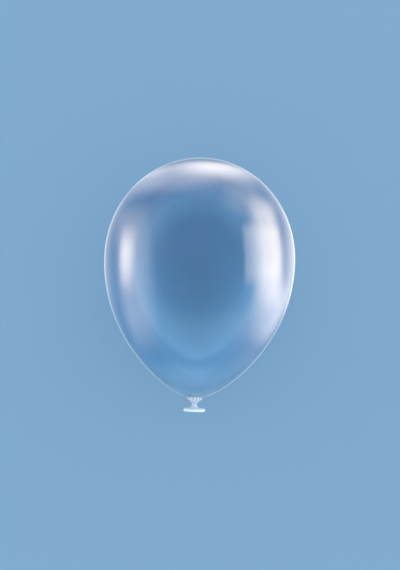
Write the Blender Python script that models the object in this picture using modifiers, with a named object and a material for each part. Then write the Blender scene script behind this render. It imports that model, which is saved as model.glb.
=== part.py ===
"""A clear latex party balloon, blown up, sealed at its gathered neck and lying on its side.

The balloon is turned about its own long axis, from the crown at the top down to the rolled lip, with the
lip's end at height zero. Then it is laid on its side, crown towards +Y and neck towards -Y, on its resting
spot. All sizes are in metres.
"""

import math

import bmesh
import bpy
from mathutils import Matrix, Vector

# The blown-up body
LENGTH = 0.300  # from the lip's end to the top of the crown
WIDTH = 0.225  # across the widest part
CROWN_HEIGHT = 0.120  # from the widest part up to the crown
SHOULDER_POWER = 2.082  # how long the lower half stays wide
TAPER_POWER = 0.757  # how fast it then draws in to the neck

# The gathered neck
COLLAR_WIDTH = 0.019  # where the stretched skin meets the gathers
COLLAR_HEIGHT = 0.0173  # above the lip's end
WAIST_WIDTH = 0.0055  # the pinch that seals the balloon
WAIST_HEIGHT = 0.0089  # middle of the pinch, above the lip's end
WAIST_LENGTH = 0.0020
PLEATS = 12
PLEAT_DEPTH = 0.0009  # from a pleat's top to the valley beside it, at the collar
PLEAT_SHOULDER = 0.0030  # length in which a pleat rises below the collar
SPREAD_WALL = 0.00105  # the gathered skin between the pinch and the lip
SPREAD_RIM = 0.0032  # flat rim from where the skin has spread out to the roll's middle
MOUTH_DEPTH = 0.0064  # from the lip's end up to where the mouth closes
MOUTH_DOME = 0.0006  # rise of the mouth's closed end

# The rolled lip
LIP_WIDTH = 0.0254  # the oval lip's long way, across the balloon
LIP_DEPTH = 0.0150  # its short way
LIP_THICKNESS = 0.00415  # the roll's own diameter

# Where it rests
SPOT_DEPTH = 0.0008  # how far the skin is pressed flat by its own weight

# Fineness of the faces
SIDES = 6 * PLEATS
CROWN_STEPS = 14
TAPER_STEPS = 21
GATHER_STEPS = 7
SPREAD_STEPS = 5
ROLL_STEPS = 9
MOUTH_STEPS = 5
BALANCE_STEPS = 2000
SHARP_ANGLE = math.radians(40)
MERGE_DISTANCE = 1e-6

# The finish
LATEX_COLOUR = (0.80, 0.86, 0.94, 1.0)
LATEX_ROUGHNESS = 0.06
LATEX_IOR = 1.45
LATEX_CLEARNESS = 0.9

# What follows from the sizes above
BODY_RADIUS = WIDTH / 2
COLLAR_RADIUS = COLLAR_WIDTH / 2
WAIST_RADIUS = WAIST_WIDTH / 2
WAIST_TOP = WAIST_HEIGHT + WAIST_LENGTH / 2
ROLL_RADIUS = LIP_THICKNESS / 2
ROLL_CENTRE = LIP_WIDTH / 2 - ROLL_RADIUS
MOUTH_RADIUS = ROLL_CENTRE - ROLL_RADIUS
EQUATOR_HEIGHT = LENGTH - CROWN_HEIGHT
SPREAD_CENTRE = ROLL_CENTRE - SPREAD_RIM
SPREAD_ACROSS = SPREAD_CENTRE - WAIST_RADIUS
SPREAD_ALONG = WAIST_HEIGHT - LIP_THICKNESS


def clear_scene():
    """Removes what the file opened with."""
    for obj in list(bpy.data.objects):
        bpy.data.objects.remove(obj, do_unlink=True)


def eased(share):
    """A share held between 0 and 1, eased at both ends."""
    share = min(max(share, 0.0), 1.0)
    return share * share * (3 - 2 * share)


def crown_point(share):
    """A point of the crown's outline, from the top at 0 to the widest part at 1."""
    angle = share * math.pi / 2
    return BODY_RADIUS * math.sin(angle), EQUATOR_HEIGHT + CROWN_HEIGHT * math.cos(angle)


def taper_point(share):
    """A point of the lower half's outline, from the widest part at 0 to the collar at 1."""
    drop = math.sin(share * math.pi / 2)
    reach = (1 - drop**SHOULDER_POWER) ** TAPER_POWER
    radius = COLLAR_RADIUS + (BODY_RADIUS - COLLAR_RADIUS) * reach
    return radius, EQUATOR_HEIGHT - drop * (EQUATOR_HEIGHT - COLLAR_HEIGHT)


def arc(centre, across, along, start, end, steps):
    """Points on an oval's arc, first and last among them. Angles in degrees, from the outward direction."""
    angles = (math.radians(start + (end - start) * i / steps) for i in range(steps + 1))
    return [(centre[0] + across * math.cos(a), centre[1] + along * math.sin(a)) for a in angles]


def body_outline():
    """The outline from the crown's top down to the collar."""
    crown = [crown_point(i / CROWN_STEPS) for i in range(CROWN_STEPS)]
    taper = [taper_point(i / TAPER_STEPS) for i in range(TAPER_STEPS + 1)]
    return [(0.0, LENGTH)] + crown[1:] + taper


def gather_outline():
    """The gathers, drawing in from below the collar to the pinch."""
    points = []
    for i in range(1, GATHER_STEPS + 1):
        share = i / GATHER_STEPS
        radius = COLLAR_RADIUS + share * (WAIST_RADIUS - COLLAR_RADIUS)
        points.append((radius, COLLAR_HEIGHT + share * (WAIST_TOP - COLLAR_HEIGHT)))
    return points


def lip_outline():
    """From the pinch out over the lip's roll, then up into the mouth and across its closed end."""
    centre = (SPREAD_CENTRE, WAIST_HEIGHT)
    inner_along = SPREAD_ALONG + SPREAD_WALL
    closing = math.degrees(math.asin((WAIST_HEIGHT - MOUTH_DEPTH) / inner_along))
    spread = arc(centre, SPREAD_ACROSS, SPREAD_ALONG, 180, 270, SPREAD_STEPS)
    roll = arc((ROLL_CENTRE, ROLL_RADIUS), ROLL_RADIUS, ROLL_RADIUS, 90, -180, ROLL_STEPS)
    mouth = arc(centre, SPREAD_ACROSS + SPREAD_WALL, inner_along, 270, 180 + closing, MOUTH_STEPS)
    return spread + roll + mouth + [(0.0, MOUTH_DEPTH + MOUTH_DOME)]


def turned(name, outline):
    """The outline turned about the upright axis, as a closed mesh."""
    profile = bpy.data.meshes.new(name + "_profile")
    edges = [(i, i + 1) for i in range(len(outline) - 1)]
    profile.from_pydata([(radius, 0.0, height) for radius, height in outline], edges, [])
    guide = bpy.data.objects.new(name + "_profile", profile)
    bpy.context.scene.collection.objects.link(guide)
    screw = guide.modifiers.new("Turn", "SCREW")
    screw.axis = "Z"
    screw.angle = 2 * math.pi
    screw.steps = screw.render_steps = SIDES
    screw.use_merge_vertices = True
    screw.merge_threshold = MERGE_DISTANCE
    bpy.context.view_layer.update()
    evaluated = guide.evaluated_get(bpy.context.evaluated_depsgraph_get())
    mesh = bpy.data.meshes.new_from_object(evaluated)
    mesh.name = name
    bpy.data.objects.remove(guide, do_unlink=True)
    bpy.data.meshes.remove(profile)
    return mesh


def pleat_share(height):
    """How much of the pleats shows at a height: none above the collar, fading out towards the lip."""
    if height > WAIST_HEIGHT:
        return eased((COLLAR_HEIGHT - height) / PLEAT_SHOULDER)
    return eased((height - LIP_THICKNESS) / (WAIST_HEIGHT - LIP_THICKNESS))


def skin_middle(radius):
    """Height of the middle of the skin that spreads from the pinch to the lip."""
    inward = max(SPREAD_CENTRE - radius, 0.0) / (SPREAD_ACROSS + SPREAD_WALL / 2)
    return WAIST_HEIGHT - (SPREAD_ALONG + SPREAD_WALL / 2) * math.sqrt(max(1 - inward**2, 0.0))


def oval_share(radius, height):
    """How much of the lip's oval shows at a point of the outline: all of it at the roll."""
    if height >= WAIST_HEIGHT:
        return 0.0
    if height < skin_middle(radius):
        return min(radius / MOUTH_RADIUS, 1.0)
    return min(max((radius - WAIST_RADIUS) / (ROLL_CENTRE - WAIST_RADIUS), 0.0), 1.0)


def gather_neck(mesh):
    """Presses the pleats into the turned neck and squeezes the lip to its oval."""
    squeeze = (LIP_WIDTH - LIP_DEPTH) / 2
    swing = PLEAT_DEPTH / (2 * COLLAR_RADIUS)
    for vertex in mesh.vertices:
        x, y, height = vertex.co
        radius = math.hypot(x, y)
        if height > COLLAR_HEIGHT or radius == 0:
            continue
        angle = math.atan2(y, x)
        pleated = 1 + swing * pleat_share(height) * math.cos(PLEATS * angle)
        inward = squeeze * oval_share(radius, height)
        vertex.co.x = x * pleated
        vertex.co.y = (radius - inward) * math.sin(angle) * pleated


def balance():
    """Where the balloon comes to rest: the tilt of its axis, and the height of its centre along the axis.

    It rests on the point of its outline that is nearest to its centre of mass.
    """
    shares = [i / BALANCE_STEPS for i in range(BALANCE_STEPS + 1)]
    outline = [crown_point(share) for share in shares] + [taper_point(share) for share in shares]
    volume = moment = 0.0
    for (radius, height), (next_radius, next_height) in zip(outline, outline[1:]):
        slice_volume = (radius**2 + next_radius**2) / 2 * (height - next_height)
        volume += slice_volume
        moment += slice_volume * (height + next_height) / 2
    middle = moment / volume
    radius, height = min(outline, key=lambda point: math.hypot(point[0], point[1] - middle))
    return math.atan2(middle - height, radius), middle


def lay_down(mesh):
    """Lays the balloon on its side as it balances, with the resting spot cut flat at height zero."""
    tilt, middle = balance()
    mesh.transform(Matrix.Translation((0.0, 0.0, -middle)))
    mesh.transform(Matrix.Rotation(-(math.pi / 2 - tilt), 4, "X"))
    lowest = min(vertex.co.z for vertex in mesh.vertices)
    mesh.transform(Matrix.Translation((0.0, 0.0, -lowest - SPOT_DEPTH)))


def press_spot(mesh):
    """Cuts the balloon off flat at height zero, and closes it there with one flat face."""
    work = bmesh.new()
    work.from_mesh(mesh)
    everything = work.verts[:] + work.edges[:] + work.faces[:]
    ground = Vector((0.0, 0.0, 0.0))
    cut = bmesh.ops.bisect_plane(
        work, geom=everything, plane_co=ground, plane_no=Vector((0.0, 0.0, 1.0)), clear_inner=True
    )
    rim = [item for item in cut["geom_cut"] if isinstance(item, bmesh.types.BMEdge)]
    for item in cut["geom_cut"]:
        if isinstance(item, bmesh.types.BMVert):
            item.co.z = 0.0
    bmesh.ops.contextual_create(work, geom=rim)
    bmesh.ops.recalc_face_normals(work, faces=work.faces[:])
    work.to_mesh(mesh)
    work.free()


def centre_on_origin(mesh):
    """Moves the balloon so that the middle of its own box's underside is the origin."""
    for axis in (0, 1):
        places = [vertex.co[axis] for vertex in mesh.vertices]
        middle = (min(places) + max(places)) / 2
        shift = Vector((0.0, 0.0, 0.0))
        shift[axis] = -middle
        mesh.transform(Matrix.Translation(shift))


def latex():
    """Clear natural latex, slightly milky."""
    material = bpy.data.materials.new("clear_latex")
    material.use_nodes = True
    shader = material.node_tree.nodes["Principled BSDF"]
    shader.inputs["Base Color"].default_value = LATEX_COLOUR
    shader.inputs["Metallic"].default_value = 0.0
    shader.inputs["Roughness"].default_value = LATEX_ROUGHNESS
    shader.inputs["IOR"].default_value = LATEX_IOR
    shader.inputs["Transmission Weight"].default_value = LATEX_CLEARNESS
    return material


def make_balloon(collection):
    """The whole balloon, in one piece."""
    mesh = turned("balloon", body_outline() + gather_outline() + lip_outline())
    gather_neck(mesh)
    lay_down(mesh)
    press_spot(mesh)
    centre_on_origin(mesh)
    mesh.shade_smooth()
    mesh.set_sharp_from_angle(angle=SHARP_ANGLE)
    mesh.materials.append(latex())
    balloon = bpy.data.objects.new("balloon", mesh)
    collection.objects.link(balloon)
    return balloon


def main():
    clear_scene()
    collection = bpy.data.collections.new("clear_latex_party_balloon")
    bpy.context.scene.collection.children.link(collection)
    make_balloon(collection)


main()
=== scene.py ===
"""The looks of a clear latex party balloon that lies on its side. All sizes are in metres."""

import math

import bpy
from mathutils import Matrix, Vector


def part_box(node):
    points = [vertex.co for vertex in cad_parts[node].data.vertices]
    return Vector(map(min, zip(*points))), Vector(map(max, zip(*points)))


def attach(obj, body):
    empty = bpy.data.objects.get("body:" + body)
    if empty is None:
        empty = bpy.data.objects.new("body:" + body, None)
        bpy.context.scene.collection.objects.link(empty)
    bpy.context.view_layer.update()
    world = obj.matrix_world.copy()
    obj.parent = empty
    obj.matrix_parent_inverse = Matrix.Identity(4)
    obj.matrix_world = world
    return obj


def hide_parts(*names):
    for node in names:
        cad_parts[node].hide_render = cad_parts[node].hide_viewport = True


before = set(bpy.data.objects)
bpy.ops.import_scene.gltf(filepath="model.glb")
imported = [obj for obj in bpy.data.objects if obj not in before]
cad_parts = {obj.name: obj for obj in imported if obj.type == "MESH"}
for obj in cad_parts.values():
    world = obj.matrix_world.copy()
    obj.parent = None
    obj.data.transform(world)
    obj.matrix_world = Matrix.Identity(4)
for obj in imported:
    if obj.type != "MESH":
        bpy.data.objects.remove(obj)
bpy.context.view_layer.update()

# The blown-up body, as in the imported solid
LENGTH = 0.300
WIDTH = 0.225
CROWN_HEIGHT = 0.120
SHOULDER_POWER = 2.082  # a higher one keeps the lower half wide for longer
TAPER_POWER = 0.757  # a lower one makes it blunter where it meets the neck

# The gathered neck and the rolled lip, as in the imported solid
COLLAR_WIDTH = 0.019
COLLAR_HEIGHT = 0.0173
WAIST_WIDTH = 0.0055
WAIST_HEIGHT = 0.0089
WAIST_LENGTH = 0.0020
PLEATS = 12
SPREAD_WALL = 0.00105  # of the skin that spreads from the pinch to the lip
SPREAD_RIM = 0.0032  # between the end of that skin's curve and the middle of the lip's roll
MOUTH_DEPTH = 0.0064  # from the lip's end to where the mouth is closed
MOUTH_DOME = 0.0006  # how much deeper it is in the middle
LIP_WIDTH = 0.0254
LIP_DEPTH = 0.0150
LIP_THICKNESS = 0.00415

# The skin itself
WALL = 0.0002
GATHER_WALL = 0.0008  # where the gathered skin meets above the pinch
AIR_END = 0.0108  # the height where the air inside ends

# The gathers and the creases that they send up the body
COLLAR_RELIEF = 0.0004  # how deep they are at the collar
PLEAT_DEPTH = 0.0013  # how deep they would be below it, if the neck stayed as wide
PLEAT_SHOULDER = 0.0022  # how far below the collar they are at their deepest
CREASE_REACH = 0.024  # how far from the axis they run up the body
CREASE_TOP = 0.026  # the height above which there are none
FOLD_POWER = 0.7  # a lower one makes the furrows sharper
FOLD_MIDDLE = 0.6  # the share of a fold that lies inside the turned outline
KNUCKLE_HEIGHT = 0.0154  # where each gather bulges most
KNUCKLE_LENGTH = 0.0016
KNUCKLE_DEPTH = 0.0006

# The fine creases round the neck's end of the body
FINE_CREASES = 41
FINE_DEPTH = 0.00004
FINE_WANDER = 0.12  # how far they stray round the neck, in radians
FINE_WANDER_SCALE = 180.0
FINE_GAPS_SCALE = 260.0
FINE_GAPS = (0.3, 0.7, 0.3, 1.0)  # the noise from and to which they go from faint to full
FINE_START = 0.001  # how far above the collar they reach their full depth
FINE_END = (0.03, 0.06)  # the heights between which they fade out

# How thick and milky the latex is, from 0 where it is stretched thin to about 1 where it isn't stretched.
# The numbers below say how thick it is there or by how much it is thicker, save for painted light and shade:
# the gathers' ridges and knuckles are painted lighter as highlights, and their furrows, the pinch and the
# depth of the mouth darker as shade.
CROWN_PATCH = 0.035  # how far from the axis the thicker latex at the crown reaches
NECK_PATCH_TOP = 0.075  # how far up the body the thicker latex at the neck reaches
THICK_AT_CROWN = 0.35
THICK_AT_COLLAR = 0.55
# Painted shade in the gathers' furrows, and painted highlights on their ridges and knuckles
PAINTED_SHADE_IN_FURROWS = 0.15
RIDGES_PAINTED_LIGHTER = 0.40
KNUCKLES_PAINTED_LIGHTER = 0.50
RIDGE_POWER = 4  # a higher one makes the painted highlights on the ridges narrower
# Painted shade at the pinch, and painted highlights on its ridges
PAINTED_SHADE_AT_PINCH = 0.10
PINCH_RIDGES_PAINTED_LIGHTER = 0.50
LIP_THICKER = 0.70
# Painted shade in the mouth: darker the deeper in it, lighter towards its edge
PAINTED_SHADE_IN_MOUTH = 0.20
MOUTH_EDGE_LESS_SHADED = 0.70
THICK_ROUND_AIR = 0.90  # the least on the inside of the gathers

# The finish
LATEX_IOR = 1.85
CLEAR_THIN = (0.55, 0.82, 0.99)
CLEAR_THICK = (0.90, 0.95, 1.0)
# The gathered latex's dark colour is also its painted shade, and its white one also its painted highlights
GATHERED_THIN_AND_SHADED = (0.38, 0.47, 0.64)
GATHERED_THICK_AND_HIGHLIT = (0.74, 0.92, 1.0)
BLOOM = (0.80, 0.92, 1.0)
SEEP_DEPTH = 0.0015  # how deep light seeps into the gathered latex
SEEP_COLOUR = (0.7, 0.85, 1.0)
CROWN_PAINTED_SHADE = (0.91, 0.85, 0.87)  # painted shade: the clear latex's colour is made deeper by this at the crown
CROWN_PAINTED_SHADE_REACH = (0.11, 0.23)  # the heights between which it deepens
CLOUDINESS = 0.25
CLOUDS = (28.0, 4.0, 0.55)  # the noise's scale, detail and roughness

BODY_RADIUS = WIDTH / 2
COLLAR_RADIUS = COLLAR_WIDTH / 2
WAIST_RADIUS = WAIST_WIDTH / 2
WAIST_TOP = WAIST_HEIGHT + WAIST_LENGTH / 2
ROLL_RADIUS = LIP_THICKNESS / 2
ROLL_CENTRE = LIP_WIDTH / 2 - ROLL_RADIUS
MOUTH_RADIUS = ROLL_CENTRE - ROLL_RADIUS
EQUATOR_HEIGHT = LENGTH - CROWN_HEIGHT
SPREAD_CENTRE = ROLL_CENTRE - SPREAD_RIM
SPREAD_ACROSS = SPREAD_CENTRE - WAIST_RADIUS
SPREAD_ALONG = WAIST_HEIGHT - LIP_THICKNESS
FINE_REACH = 2.6 * COLLAR_RADIUS  # how far from the axis the fine creases run

# How finely the outline is drawn and spun
SIDES = 16 * PLEATS
CROWN_STEPS = 40
TAPER_STEPS = 56
GATHER_STEPS = 24
SPREAD_STEPS = 12
ROLL_STEPS = 20
MOUTH_STEPS = 10
BALANCE_STEPS = 2000
START_SIZE = 0.001  # of the plane that is merged to the first corner
MERGE_DISTANCE = 1e-7

# The photograph's framing, in its own pixels
PICTURE_HEIGHT = 570
PICTURE_CENTRE = (200.0, 285.0)
AXIS_POINT = (199.7, 260.0)  # a pixel on the balloon's long axis
CROWN_LEAN = math.radians(2.116)  # the crown leans to the right by this
LIP_END_RUN = 151.9  # pixels along the axis from that pixel to the lip's end
LENGTH_RUN = 254.2  # pixels from the lip's end to the crown
PIXEL = LENGTH / LENGTH_RUN  # metres at the balloon
CAMERA_DISTANCE = 3.0
CAMERA_CLIP = (0.1, 100.0)
SENSOR_MM = 36.0

# The studio
FLOOR_BLUE = (0.235, 0.43, 0.645)
FLOOR_SIZE = 60.0
FLOOR_GAP = 0.0002
DOME_RADIUS = 8.0
DOME_CENTRE = (0.0, 0.0, 0.11)
ROOM_COLOUR = (0.94, 0.97, 1.0)
ROOM_FADE = (0.35, 0.65)  # how far up the room's light eases from its sides' to its top's, level being 0
ROOM_SIDES = 1.2
ROOM_TOP = 0.40
OVERHEAD_PLACE = (0.0, 0.0, 3.6)
OVERHEAD_SIZE = 3.0
OVERHEAD_WATTS = 62.0
RIGHT_PLACE = (1.7, -0.75, 1.0)
RIGHT_WATTS = 25.0
LEFT_PLACE = (-1.7, -0.9, 0.9)
LEFT_WATTS = 14.0
SIDE_LAMP_SIZE = 0.8


def eased(share):
    """A share held between 0 and 1, eased at both ends."""
    share = min(max(share, 0.0), 1.0)
    return share * share * (3 - 2 * share)


# The outline

def crown_point(share):
    """A point of the crown's outline, from the top at 0 to the widest part at 1."""
    angle = share * math.pi / 2
    return BODY_RADIUS * math.sin(angle), EQUATOR_HEIGHT + CROWN_HEIGHT * math.cos(angle)


def taper_point(share):
    """A point of the lower half's outline, from the widest part at 0 to the collar at 1."""
    drop = math.sin(share * math.pi / 2)
    reach = (1 - drop**SHOULDER_POWER) ** TAPER_POWER
    radius = COLLAR_RADIUS + (BODY_RADIUS - COLLAR_RADIUS) * reach
    return radius, EQUATOR_HEIGHT - drop * (EQUATOR_HEIGHT - COLLAR_HEIGHT)


def arc(centre, across, along, start, end, steps):
    """Points on an oval's arc, first and last among them. Angles in degrees, from the outward direction."""
    angles = (math.radians(start + (end - start) * i / steps) for i in range(steps + 1))
    return [(centre[0] + across * math.cos(a), centre[1] + along * math.sin(a)) for a in angles]


def body_outline():
    """The outline from the crown's top down to the collar."""
    crown = [crown_point(i / CROWN_STEPS) for i in range(CROWN_STEPS)]
    taper = [taper_point(i / TAPER_STEPS) for i in range(TAPER_STEPS + 1)]
    return [(0.0, LENGTH)] + crown[1:] + taper


def gather_outline():
    """The gathers, drawing in from below the collar to the pinch."""
    points = []
    for i in range(1, GATHER_STEPS + 1):
        share = i / GATHER_STEPS
        radius = COLLAR_RADIUS + share * (WAIST_RADIUS - COLLAR_RADIUS)
        points.append((radius, COLLAR_HEIGHT + share * (WAIST_TOP - COLLAR_HEIGHT)))
    return points


def lip_outline():
    """From the pinch out over the lip's roll, then up into the mouth and across its closed end."""
    centre = (SPREAD_CENTRE, WAIST_HEIGHT)
    inner_along = SPREAD_ALONG + SPREAD_WALL
    closing = math.degrees(math.asin((WAIST_HEIGHT - MOUTH_DEPTH) / inner_along))
    spread = arc(centre, SPREAD_ACROSS, SPREAD_ALONG, 180, 270, SPREAD_STEPS)
    roll = arc((ROLL_CENTRE, ROLL_RADIUS), ROLL_RADIUS, ROLL_RADIUS, 90, -180, ROLL_STEPS)
    mouth = arc(centre, SPREAD_ACROSS + SPREAD_WALL, inner_along, 270, 180 + closing, MOUTH_STEPS)
    return spread + roll + mouth + [(0.0, MOUTH_DEPTH + MOUTH_DOME)]


def inside_outline():
    """The outline one wall further in, down to where the gathered skin meets above the pinch."""
    outside = body_outline() + gather_outline()
    inside = [(0.0, LENGTH - WALL)]
    for before, here, after in zip(outside, outside[1:], outside[2:]):
        if here[1] > AIR_END:
            thickened = eased((COLLAR_HEIGHT - here[1]) / (COLLAR_HEIGHT - AIR_END))
            wall = WALL + (GATHER_WALL - WALL) * thickened
            along = Vector((after[0] - before[0], after[1] - before[1])).normalized()
            inside.append((here[0] + along.y * wall, here[1] - along.x * wall))
    return inside + [(0.0, AIR_END)]


# How the balloon lies

def balance():
    """The tilt of its axis when it rests: square to the outline right below its centre of mass."""
    shares = [i / BALANCE_STEPS for i in range(BALANCE_STEPS + 1)]
    outline = [crown_point(share) for share in shares] + [taper_point(share) for share in shares]
    volume = moment = 0.0
    for (radius, height), (next_radius, next_height) in zip(outline, outline[1:]):
        slice_volume = (radius**2 + next_radius**2) / 2 * (height - next_height)
        volume += slice_volume
        moment += slice_volume * (height + next_height) / 2
    middle = moment / volume
    radius, height = min(outline, key=lambda point: math.hypot(point[0], point[1] - middle))
    return math.atan2(middle - height, radius)


TILT = balance()
LOW, HIGH = (Vector(corner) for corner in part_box("balloon"))
ALONG = Vector((0.0, math.cos(TILT), math.sin(TILT)))  # from the neck to the crown
FACING = Vector((0.0, -math.sin(TILT), math.cos(TILT)))  # square to that, upwards
ACROSS = Vector((1.0, 0.0, 0.0))


def resting_place():
    """The matrix that lays the upright balloon down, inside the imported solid's own box."""
    turn = Matrix.Rotation(-(math.pi / 2 - TILT), 4, "X")
    lip_low = -(LIP_DEPTH / 2 - ROLL_RADIUS) * math.sin(TILT) - ROLL_RADIUS
    outline = [crown_point(i / BALANCE_STEPS) for i in range(BALANCE_STEPS)] + [taper_point(0.0)]
    both_sides = [Vector((0.0, side * radius, height)) for radius, height in outline for side in (1, -1)]
    turned_outline = [turn @ point for point in both_sides]
    far_end = max(point.y for point in turned_outline)
    top = max(point.z for point in turned_outline)
    near_end = ROLL_RADIUS * math.cos(TILT) + lip_low
    fit = min(1.0, (HIGH.y - LOW.y) / (far_end - near_end))
    shift = Vector((0.0, HIGH.y - far_end * fit, HIGH.z - top * fit))
    return Matrix.Translation(shift) @ Matrix.Scale(fit, 4) @ turn


PLACE = resting_place()


# Modelling

def turned(name, outline):
    """The outline drawn corner by corner from one point, and spun about the upright axis."""
    bpy.ops.object.select_all(action="DESELECT")
    bpy.ops.mesh.primitive_plane_add(size=START_SIZE, location=(0.0, 0.0, 0.0))
    piece = bpy.context.object
    piece.name = piece.data.name = name
    bpy.ops.object.mode_set(mode="EDIT")
    bpy.ops.mesh.merge(type="CENTER")
    bpy.ops.transform.translate(value=(outline[0][0], 0.0, outline[0][1]))
    for (radius, height), (next_radius, next_height) in zip(outline, outline[1:]):
        step = (next_radius - radius, 0.0, next_height - height)
        bpy.ops.mesh.extrude_region_move(TRANSFORM_OT_translate={"value": step})
    bpy.ops.mesh.select_all(action="SELECT")
    bpy.ops.mesh.spin(steps=SIDES, angle=2 * math.pi, center=(0, 0, 0), axis=(0, 0, 1))
    bpy.ops.mesh.select_all(action="SELECT")
    bpy.ops.mesh.remove_doubles(threshold=MERGE_DISTANCE)
    bpy.ops.object.mode_set(mode="OBJECT")
    return piece


def face_all(piece, inside):
    """Turns every face of the piece outwards, or towards the air inside."""
    bpy.ops.object.select_all(action="DESELECT")
    bpy.context.view_layer.objects.active = piece
    piece.select_set(True)
    bpy.ops.object.mode_set(mode="EDIT")
    bpy.ops.mesh.select_all(action="SELECT")
    bpy.ops.mesh.normals_make_consistent(inside=inside)
    bpy.ops.object.mode_set(mode="OBJECT")


def relief(radius, height):
    """How deep the gathers are at a point of the outline: they fade out up the body and towards the lip."""
    if height > COLLAR_HEIGHT:
        return COLLAR_RELIEF * eased((CREASE_REACH - radius) / (CREASE_REACH - COLLAR_RADIUS))
    if height > WAIST_HEIGHT:
        deepened = eased((COLLAR_HEIGHT - height) / PLEAT_SHOULDER)
        return COLLAR_RELIEF + (PLEAT_DEPTH - COLLAR_RELIEF) * deepened * radius / COLLAR_RADIUS
    if height < skin_middle(radius):
        return 0.0
    waist_relief = COLLAR_RELIEF + (PLEAT_DEPTH - COLLAR_RELIEF) * WAIST_RADIUS / COLLAR_RADIUS
    return waist_relief * eased((height - LIP_THICKNESS) / (WAIST_HEIGHT - LIP_THICKNESS))


def skin_middle(radius):
    """Height of the middle of the skin that spreads from the pinch to the lip."""
    inward = max(SPREAD_CENTRE - radius, 0.0) / (SPREAD_ACROSS + SPREAD_WALL / 2)
    return WAIST_HEIGHT - (SPREAD_ALONG + SPREAD_WALL / 2) * math.sqrt(max(1 - inward**2, 0.0))


def oval_share(radius, height):
    """How much of the lip's oval shows at a point of the outline: all of it at the roll."""
    if height >= WAIST_HEIGHT:
        return 0.0
    if height < skin_middle(radius):
        return min(radius / MOUTH_RADIUS, 1.0)
    return min(max((radius - WAIST_RADIUS) / (ROLL_CENTRE - WAIST_RADIUS), 0.0), 1.0)


def gather_neck(piece, outwards):
    """Presses the gathers into the turned neck and squeezes the lip to its oval."""
    squeeze = (LIP_WIDTH - LIP_DEPTH) / 2
    normals = [vertex.normal * outwards for vertex in piece.data.vertices]
    for vertex, normal in zip(piece.data.vertices, normals):
        x, y, height = vertex.co
        radius = math.hypot(x, y)
        if height > CREASE_TOP or radius < WAIST_RADIUS / 2:
            continue
        angle = math.atan2(y, x)
        fold = abs(math.cos(PLEATS / 2 * angle)) ** FOLD_POWER - FOLD_MIDDLE
        inward = squeeze * oval_share(radius, height)
        vertex.co.y = (radius - inward) * math.sin(angle)
        knuckle = KNUCKLE_DEPTH * max(fold, 0.0) * eased(1 - abs(height - KNUCKLE_HEIGHT) / KNUCKLE_LENGTH)
        vertex.co += normal * (relief(radius, height) * fold + knuckle)


def thickness_and_painted_light(radius, height, angle):
    """How thick and milky the latex is at a place, with painted light and shade on the gathers and in the
    mouth.
    """
    if height > COLLAR_HEIGHT:
        near_neck = eased((NECK_PATCH_TOP - height) / (NECK_PATCH_TOP - COLLAR_HEIGHT))
        near_crown = eased(1 - radius / CROWN_PATCH) if height > EQUATOR_HEIGHT else 0.0
        return THICK_AT_COLLAR * near_neck**2 + THICK_AT_CROWN * near_crown
    # Painted shade: darker the deeper in the mouth
    if height < skin_middle(radius):
        return PAINTED_SHADE_IN_MOUTH + MOUTH_EDGE_LESS_SHADED * eased((MOUTH_DEPTH - height) / MOUTH_DEPTH)
    # Painted highlights on the ridges and the knuckles, over painted shade in the furrows
    ridge_highlight = math.cos(PLEATS / 2 * angle) ** RIDGE_POWER
    if height > WAIST_HEIGHT:
        knuckle = eased(1 - abs(height - KNUCKLE_HEIGHT) / KNUCKLE_LENGTH)
        return PAINTED_SHADE_IN_FURROWS + ridge_highlight * (RIDGES_PAINTED_LIGHTER + KNUCKLES_PAINTED_LIGHTER * knuckle)
    # Painted shade at the pinch and painted highlights on its ridges, giving way to the lip's thicker roll
    flat = eased((WAIST_HEIGHT - height) / (WAIST_HEIGHT - LIP_THICKNESS))
    return PAINTED_SHADE_AT_PINCH + PINCH_RIDGES_PAINTED_LIGHTER * ridge_highlight * (1 - flat) + LIP_THICKER * flat**2


def note_thickness_and_painted_light(piece, least_in_gathers):
    """Keeps the latex's thickness, with the light and shade painted into it, on the piece's vertices, for
    its materials.
    """
    noted = piece.data.attributes.new("thickness_and_painted_light", "FLOAT", "POINT")
    for vertex, note in zip(piece.data.vertices, noted.data):
        x, y, height = vertex.co
        note.value = thickness_and_painted_light(math.hypot(x, y), height, math.atan2(y, x))
        if height < COLLAR_HEIGHT:
            note.value = max(note.value, least_in_gathers)


def lay_down(piece, lowest):
    """Lays the piece on its side and presses its underside flat at the given height."""
    piece.data.transform(PLACE)
    for vertex in piece.data.vertices:
        vertex.co.z = max(vertex.co.z, lowest)
    piece.data.update()


def join(pieces, name):
    """Several pieces made one."""
    bpy.ops.object.select_all(action="DESELECT")
    for piece in pieces:
        piece.select_set(True)
    bpy.context.view_layer.objects.active = pieces[0]
    bpy.ops.object.join()
    joined = bpy.context.object
    joined.name = joined.data.name = name
    return joined


def make_latex(piece, latexes, is_inside):
    """Gives the turned outside or inside its faces' direction, gathers and finishes, and lays it down."""
    face_all(piece, inside=is_inside)
    note_thickness_and_painted_light(piece, THICK_ROUND_AIR if is_inside else 0.0)
    gather_neck(piece, -1 if is_inside else 1)
    for material in latexes:
        piece.data.materials.append(material)
    for face in piece.data.polygons:
        face.material_index = int(face.center.z < COLLAR_HEIGHT)
    lay_down(piece, WALL if is_inside else 0.0)


def balloon_skin():
    """The whole balloon: the outside of the skin, and its inside round the air."""
    latexes = [clear_latex(), gathered_latex()]
    outside = turned("skin_outside", body_outline() + gather_outline() + lip_outline())
    make_latex(outside, latexes, is_inside=False)
    inside = turned("skin_inside", inside_outline())
    make_latex(inside, latexes, is_inside=True)
    skin = join([outside, inside], "balloon_skin")
    skin.data.shade_smooth()
    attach(skin, "root")
    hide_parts("balloon")


# Materials

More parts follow.
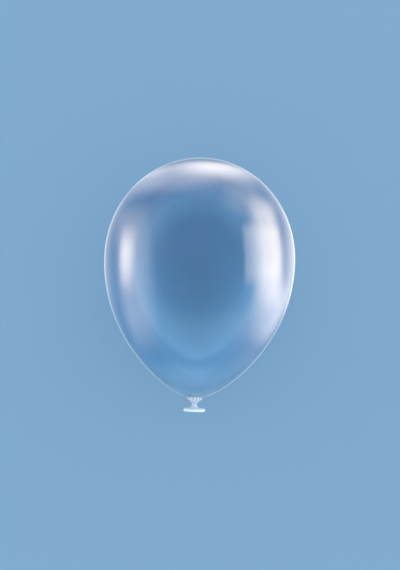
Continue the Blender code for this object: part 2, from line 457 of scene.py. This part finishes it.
class Nodes:
    """Adds the nodes of a material or the world one by one and links them."""

    def __init__(self, tree):
        self.tree = tree
        tree.nodes.clear()

    def add(self, kind, *inputs, **settings):
        """A node with these inputs, each a value or another node's output, and its first output."""
        node = self.tree.nodes.new(kind)
        for name, value in settings.items():
            setattr(node, name, value)
        for socket, value in zip(node.inputs, inputs):
            self.feed(socket, value)
        return node.outputs[0] if node.outputs else None

    def feed(self, socket, value):
        """Links the value to the socket if it is a node's output, or else sets it there."""
        if isinstance(value, bpy.types.NodeSocket):
            self.tree.links.new(value, socket)
        elif value is not None:
            socket.default_value = value

    def math(self, operation, *inputs):
        """The result of a sum, product or the like."""
        return self.add("ShaderNodeMath", *inputs, operation=operation)

    def mix(self, share, first, second):
        """The first colour at a share of 0, the second at 1."""
        node = self.add("ShaderNodeMix", share, data_type="RGBA").node
        self.feed(node.inputs[6], first)
        self.feed(node.inputs[7], second)
        return node.outputs[2]

    def tinted(self, strength, colour):
        """A colour, as bright as the input."""
        node = self.tree.nodes.new("ShaderNodeVectorMath")
        node.operation = "SCALE"
        node.inputs[0].default_value = colour
        self.feed(node.inputs["Scale"], strength)
        return node.outputs[0]

    def fade(self, value, start, end, at_start=0.0, at_end=1.0):
        """Eases from one value to the other as the input goes from start to end."""
        return self.add("ShaderNodeMapRange", value, start, end, at_start, at_end,
                        interpolation_type="SMOOTHSTEP")

    def product(self, factors):
        """All the factors multiplied."""
        result = factors[0]
        for factor in factors[1:]:
            result = self.math("MULTIPLY", result, factor)
        return result


def upright_place(nodes):
    """The place on the balloon, as when it was modelled upright."""
    place = nodes.add("ShaderNodeTexCoord").node.outputs["Object"]
    return nodes.add("ShaderNodeMapping", place, tuple(PLACE.translation), tuple(PLACE.to_euler()),
                     (1.0, 1.0, 1.0), vector_type="TEXTURE")


def milky_colour(nodes, upright, thin_and_shaded, thick_and_highlit):
    """The latex's colour from where it is stretched thin to where it is thick, with faint clouds in it, the
    painted light and shade that the thickness carries, and painted shade deeper towards the crown.
    """
    thickness_and_painted_light = nodes.add("ShaderNodeAttribute", attribute_name="thickness_and_painted_light").node.outputs["Fac"]
    clouds = nodes.add("ShaderNodeTexNoise", upright, None, *CLOUDS)
    cloudy = nodes.math("MULTIPLY_ADD", nodes.math("SUBTRACT", clouds, 0.5), CLOUDINESS, thickness_and_painted_light)
    height = nodes.add("ShaderNodeSeparateXYZ", upright).node.outputs["Z"]
    # Painted shade: the thin colour deepened towards the crown
    crown_shaded_thin = tuple(part * crown_shade_share for part, crown_shade_share in zip(thin_and_shaded, CROWN_PAINTED_SHADE))
    thin_with_crown_shade = nodes.mix(nodes.fade(height, *CROWN_PAINTED_SHADE_REACH), (*thin_and_shaded, 1.0), (*crown_shaded_thin, 1.0))
    return nodes.mix(cloudy, thin_with_crown_shade, (*thick_and_highlit, 1.0))


def fine_creases(nodes, upright):
    """The direction of the surface where fine creases run up the body from the neck and fade out."""
    parts = nodes.add("ShaderNodeSeparateXYZ", upright).node
    x, y, height = (parts.outputs[axis] for axis in "XYZ")
    squares = nodes.math("ADD", nodes.math("POWER", x, 2.0), nodes.math("POWER", y, 2.0))
    radius = nodes.math("SQRT", squares)
    wander = nodes.add("ShaderNodeTexNoise", upright, None, FINE_WANDER_SCALE, 2.0)
    angle = nodes.math("MULTIPLY_ADD", wander, FINE_WANDER, nodes.math("ARCTAN2", y, x))
    gaps = nodes.add("ShaderNodeTexNoise", upright, None, FINE_GAPS_SCALE, 1.0)
    crease = nodes.product((
        nodes.math("SINE", nodes.math("MULTIPLY", angle, float(FINE_CREASES))),
        nodes.fade(gaps, *FINE_GAPS),
        nodes.fade(radius, COLLAR_RADIUS, FINE_REACH, 1.0, 0.0),
        nodes.fade(height, COLLAR_HEIGHT - FINE_START, COLLAR_HEIGHT + FINE_START),
        nodes.fade(height, *FINE_END, 1.0, 0.0),
    ))
    bump = nodes.add("ShaderNodeBump").node
    nodes.feed(bump.inputs["Distance"], FINE_DEPTH)
    nodes.feed(bump.inputs["Height"], crease)
    return bump.outputs[0]


def latex(name, thin_and_shaded, thick_and_highlit):
    """A latex that runs from the thin colour to the thick one, which on the gathers are also painted shade
    and painted highlights, and its shader's inputs, for the rest.
    """
    material = bpy.data.materials.new(name)
    material.use_nodes = True
    nodes = Nodes(material.node_tree)
    upright = upright_place(nodes)
    shader = nodes.add("ShaderNodeBsdfPrincipled").node
    nodes.feed(shader.inputs["Base Color"], milky_colour(nodes, upright, thin_and_shaded, thick_and_highlit))
    nodes.feed(shader.inputs["IOR"], LATEX_IOR)
    nodes.feed(shader.inputs["Normal"], fine_creases(nodes, upright))
    nodes.add("ShaderNodeOutputMaterial", shader.outputs[0])
    return material, shader.inputs


def clear_latex():
    """Stretched latex: see-through with a blue tint, glossy and faintly milky, with painted shade deepening
    the tint towards the crown.
    """
    material, finish = latex("clear_latex", CLEAR_THIN, CLEAR_THICK)
    finish["Roughness"].default_value = 0.08
    finish["Transmission Weight"].default_value = 0.97
    return material


def gathered_latex():
    """Latex that isn't stretched: milky bluish white, with light seeping through, a soft bloom, painted
    highlights on its ridges and knuckles and painted shade in its furrows.
    """
    material, finish = latex("gathered_latex", GATHERED_THIN_AND_SHADED, GATHERED_THICK_AND_HIGHLIT)
    finish["Roughness"].default_value = 0.25
    finish["Transmission Weight"].default_value = 0.2
    finish["Subsurface Weight"].default_value = 0.5
    finish["Subsurface Radius"].default_value = SEEP_COLOUR
    finish["Subsurface Scale"].default_value = SEEP_DEPTH
    finish["Sheen Weight"].default_value = 0.35
    finish["Sheen Roughness"].default_value = 0.3
    finish["Sheen Tint"].default_value = (*BLOOM, 1.0)
    return material


def floor_paint():
    """A plain floor in a mid blue."""
    material = bpy.data.materials.new("floor_paint")
    material.use_nodes = True
    shader = material.node_tree.nodes["Principled BSDF"]
    shader.inputs["Base Color"].default_value = (*FLOOR_BLUE, 1.0)
    shader.inputs["Roughness"].default_value = 0.9
    shader.inputs["Specular IOR Level"].default_value = 0.0
    return material


# Studio

WARM_WHITE = (1.05, 0.89, 0.71)
PEACH_WHITE = (1.04, 0.88, 0.77)
PALE_BLUE = (0.60, 0.88, 1.0)
FLOOR_GLOW = (0.27, 0.47, 0.70)

# Soft boxes round the balloon, placed to give it the photograph's highlights. Each is placed by how many
# degrees it stands away from the camera's side, to the right and towards the crown: right, crown, turn, half
# width, half height, soft across, soft along, strength, colour
SOFT_BOXES = (
    (91, 21, 8, 19, 52, 0.8, 0.4, 4.8, WARM_WHITE),  # the large one on the right
    (84, 15, 6, 29.5, 27, 0.12, 0.3, 1.9, WARM_WHITE),  # its frame's glow
    (104, -42, -20, 28, 25, 0.75, 0.7, 2.5, PEACH_WHITE),  # below it
    (80, -72, 0, 26, 26, 0.9, 0.8, 0.5, PEACH_WHITE),  # further towards the neck
    (128, -2, 0, 24, 40, 0.7, 0.7, 0.95, PEACH_WHITE),  # far round the right
    (56, 80, 0, 24, 22, 0.7, 0.7, 1.1, PEACH_WHITE),  # between it and the crown
    (-99, 4, 0, 11, 22, 0.8, 0.9, 4.5, WARM_WHITE),  # the narrow one on the left
    (-90, -8, 8, 22, 62, 0.8, 0.4, 1.7, PEACH_WHITE),  # round that one
    (-70, 25, 0, 24, 40, 0.9, 0.9, 0.3, PEACH_WHITE),  # further in
    (21, 121, 0, 40, 17, 0.9, 0.9, 3.9, WARM_WHITE),  # beyond the crown
    (-38, 109, 0, 54, 25, 0.7, 0.6, 1.75, PEACH_WHITE),  # round that one
    (-5, -98, 0, 60, 10, 0.7, 0.8, 0.6, PALE_BLUE),  # the narrow one beyond the neck
    (0, -95, 0, 62, 55, 0.3, 0.1, 0.25, PALE_BLUE),  # the floor beyond the neck
)

# Glows from all round, with no edges. Each fades with the degrees away from the camera's side, in any
# direction, to the right or towards the crown, and its fades are multiplied: which, from, to, first, last
FLOOR_MIRRORED = (("away", 80, 150, 0.0, 0.9),)
HAZE = (
    ("away", 75, 110, 0.0, 1.0),  # none from the camera's half of the room
    ("away", 115, 155, 0.22, 0.58),
    ("away", 155, 172, 1.0, 1.4),  # strongest where the balloon turns away
    ("right", 0, 110, 1.0, 1.8),
    ("crown", -90, 0, 0.1, 1.0),  # hardly any from the neck's end
    ("crown", 60, 120, 1.0, 0.5),
)
EDGE_GLOW = (
    ("away", 148, 172, 0.0, 1.0),
    ("crown", -90, 0, 0.45, 0.2),  # stronger at the neck's end
)
GLOWS = ((FLOOR_MIRRORED, FLOOR_GLOW), (HAZE, PEACH_WHITE), (EDGE_GLOW, PALE_BLUE))


def soft_box(nodes, spot, box):
    """The light that one soft box sends from a spot on the map of degrees."""
    right, crown, turn, half_width, half_height, soft_across, soft_along, strength, colour = box
    own = nodes.add("ShaderNodeMapping", spot, (right, crown, 0.0), (0.0, 0.0, math.radians(turn)),
                    (half_width, half_height, 1.0), vector_type="TEXTURE")
    parts = nodes.add("ShaderNodeSeparateXYZ", own).node
    across = nodes.math("ABSOLUTE", parts.outputs["X"])
    along = nodes.math("ABSOLUTE", parts.outputs["Y"])
    glow = nodes.product((
        nodes.fade(across, 1 + soft_across, 1 - soft_across),
        nodes.fade(along, 1 + soft_along, 1 - soft_along),
        strength,
    ))
    return nodes.tinted(glow, colour)


def glow_all_round(nodes, degrees, fades, colour):
    """The light of a glow, from the degrees that its fades go by."""
    strength = nodes.product([nodes.fade(degrees[which], *values) for which, *values in fades])
    return nodes.tinted(strength, colour)


def dome_light():
    """The light that the dome shows in the balloon: the glows and the soft boxes."""
    material = bpy.data.materials.new("dome_light")
    material.use_nodes = True
    material.cycles.emission_sampling = "NONE"
    nodes = Nodes(material.node_tree)
    place = nodes.add("ShaderNodeTexCoord").node.outputs["Object"]
    towards = nodes.add("ShaderNodeVectorMath", place, operation="NORMALIZE")
    parts = nodes.add("ShaderNodeSeparateXYZ", towards).node
    away = nodes.math("DEGREES", nodes.math("ARCCOSINE", parts.outputs["Z"]))
    side = nodes.math("SQRT", nodes.math("SUBTRACT", 1.0, nodes.math("POWER", parts.outputs["Z"], 2.0)))
    spread = nodes.math("DIVIDE", away, side)
    right = nodes.math("MULTIPLY", parts.outputs["X"], spread)
    crown = nodes.math("MULTIPLY", parts.outputs["Y"], spread)
    degrees = {"away": away, "right": right, "crown": crown}
    spot = nodes.add("ShaderNodeCombineXYZ", right, crown)
    lights = [glow_all_round(nodes, degrees, fades, colour) for fades, colour in GLOWS]
    lights += [soft_box(nodes, spot, box) for box in SOFT_BOXES]
    total = lights[0]
    for light in lights[1:]:
        total = nodes.add("ShaderNodeVectorMath", total, light, operation="ADD")
    nodes.add("ShaderNodeOutputMaterial", nodes.add("ShaderNodeEmission", total, 1.0))
    return material


def lay_floor():
    """The floor that the balloon lies on."""
    bpy.ops.object.select_all(action="DESELECT")
    bpy.ops.mesh.primitive_plane_add(size=FLOOR_SIZE, location=(0.0, 0.0, -FLOOR_GAP))
    floor = bpy.context.object
    floor.name = "floor"
    floor.data.materials.append(floor_paint())
    floor.visible_glossy = False


def hang_dome():
    """A dome round the balloon, square to its axis, that only shows as reflections."""
    bpy.ops.object.select_all(action="DESELECT")
    bpy.ops.mesh.primitive_uv_sphere_add(radius=DOME_RADIUS, location=DOME_CENTRE, segments=48,
                                         ring_count=24)
    dome = bpy.context.object
    dome.name = "reflected_dome"
    dome.rotation_euler = (TILT, 0.0, 0.0)
    dome.data.materials.append(dome_light())
    dome.visible_camera = dome.visible_diffuse = dome.visible_transmission = dome.visible_shadow = False


def light_room():
    """Even light from all round, brighter from the sides than from above."""
    world = bpy.data.worlds.new("studio")
    bpy.context.scene.world = world
    world.use_nodes = True
    nodes = Nodes(world.node_tree)
    towards = nodes.add("ShaderNodeTexCoord")
    parts = nodes.add("ShaderNodeSeparateXYZ", towards).node
    strength = nodes.fade(parts.outputs["Z"], *ROOM_FADE, ROOM_SIDES, ROOM_TOP)
    light = nodes.add("ShaderNodeBackground", (*ROOM_COLOUR, 1.0), strength)
    nodes.add("ShaderNodeOutputWorld", light)
    world.cycles_visibility.glossy = False


def hang_lamp(name, place, size, watts):
    """A square soft lamp that faces the balloon and doesn't show in it."""
    bpy.ops.object.select_all(action="DESELECT")
    bpy.ops.object.light_add(type="AREA", location=place)
    lamp = bpy.context.object
    lamp.name = name
    lamp.rotation_euler = Vector(place).to_track_quat("Z", "Y").to_euler()
    lamp.data.shape = "SQUARE"
    lamp.data.size = size
    lamp.data.energy = watts
    lamp.visible_glossy = lamp.visible_transmission = False
    return lamp


def only(name, piece_name):
    """A collection of one object, for a lamp to light or to stop at."""
    collection = bpy.data.collections.new(name)
    collection.objects.link(bpy.data.objects[piece_name])
    return collection


def hang_lamps():
    """A large lamp overhead, in which the balloon throws no shadow, and two that light only the balloon."""
    overhead = hang_lamp("overhead_lamp", OVERHEAD_PLACE, OVERHEAD_SIZE, OVERHEAD_WATTS)
    overhead.light_linking.blocker_collection = only("stops_the_overhead_lamp", "floor")
    lit = only("lit_by_the_side_lamps", "balloon_skin")
    right = hang_lamp("right_lamp", RIGHT_PLACE, SIDE_LAMP_SIZE, RIGHT_WATTS)
    left = hang_lamp("left_lamp", LEFT_PLACE, SIDE_LAMP_SIZE, LEFT_WATTS)
    for lamp in (right, left):
        lamp.light_linking.receiver_collection = lit


def set_camera():
    """Looks down on the balloon square to its long axis, as the photograph looks at it."""
    across = PICTURE_CENTRE[0] - AXIS_POINT[0]
    down = PICTURE_CENTRE[1] - AXIS_POINT[1]
    lean = CROWN_LEAN
    run = across * math.sin(lean) - down * math.cos(lean) + LIP_END_RUN
    aside = across * math.cos(lean) + down * math.sin(lean)
    aim = PLACE @ Vector((0.0, 0.0, run * PIXEL)) + ACROSS * aside * PIXEL
    up = ALONG * math.cos(lean) - ACROSS * math.sin(lean)
    right = ACROSS * math.cos(lean) + ALONG * math.sin(lean)
    camera = bpy.data.objects.new("camera", bpy.data.cameras.new("camera"))
    bpy.context.scene.collection.objects.link(camera)
    turn = Matrix((right, up, FACING)).transposed()
    camera.matrix_world = Matrix.Translation(aim + FACING * CAMERA_DISTANCE) @ turn.to_4x4()
    camera.data.sensor_width = SENSOR_MM
    camera.data.lens = SENSOR_MM * CAMERA_DISTANCE / (PICTURE_HEIGHT * PIXEL)
    camera.data.clip_start, camera.data.clip_end = CAMERA_CLIP
    bpy.context.scene.camera = camera


set_camera()
balloon_skin()
lay_floor()
hang_dome()
light_room()
hang_lamps()
bpy.context.scene.view_settings.view_transform = "Standard"
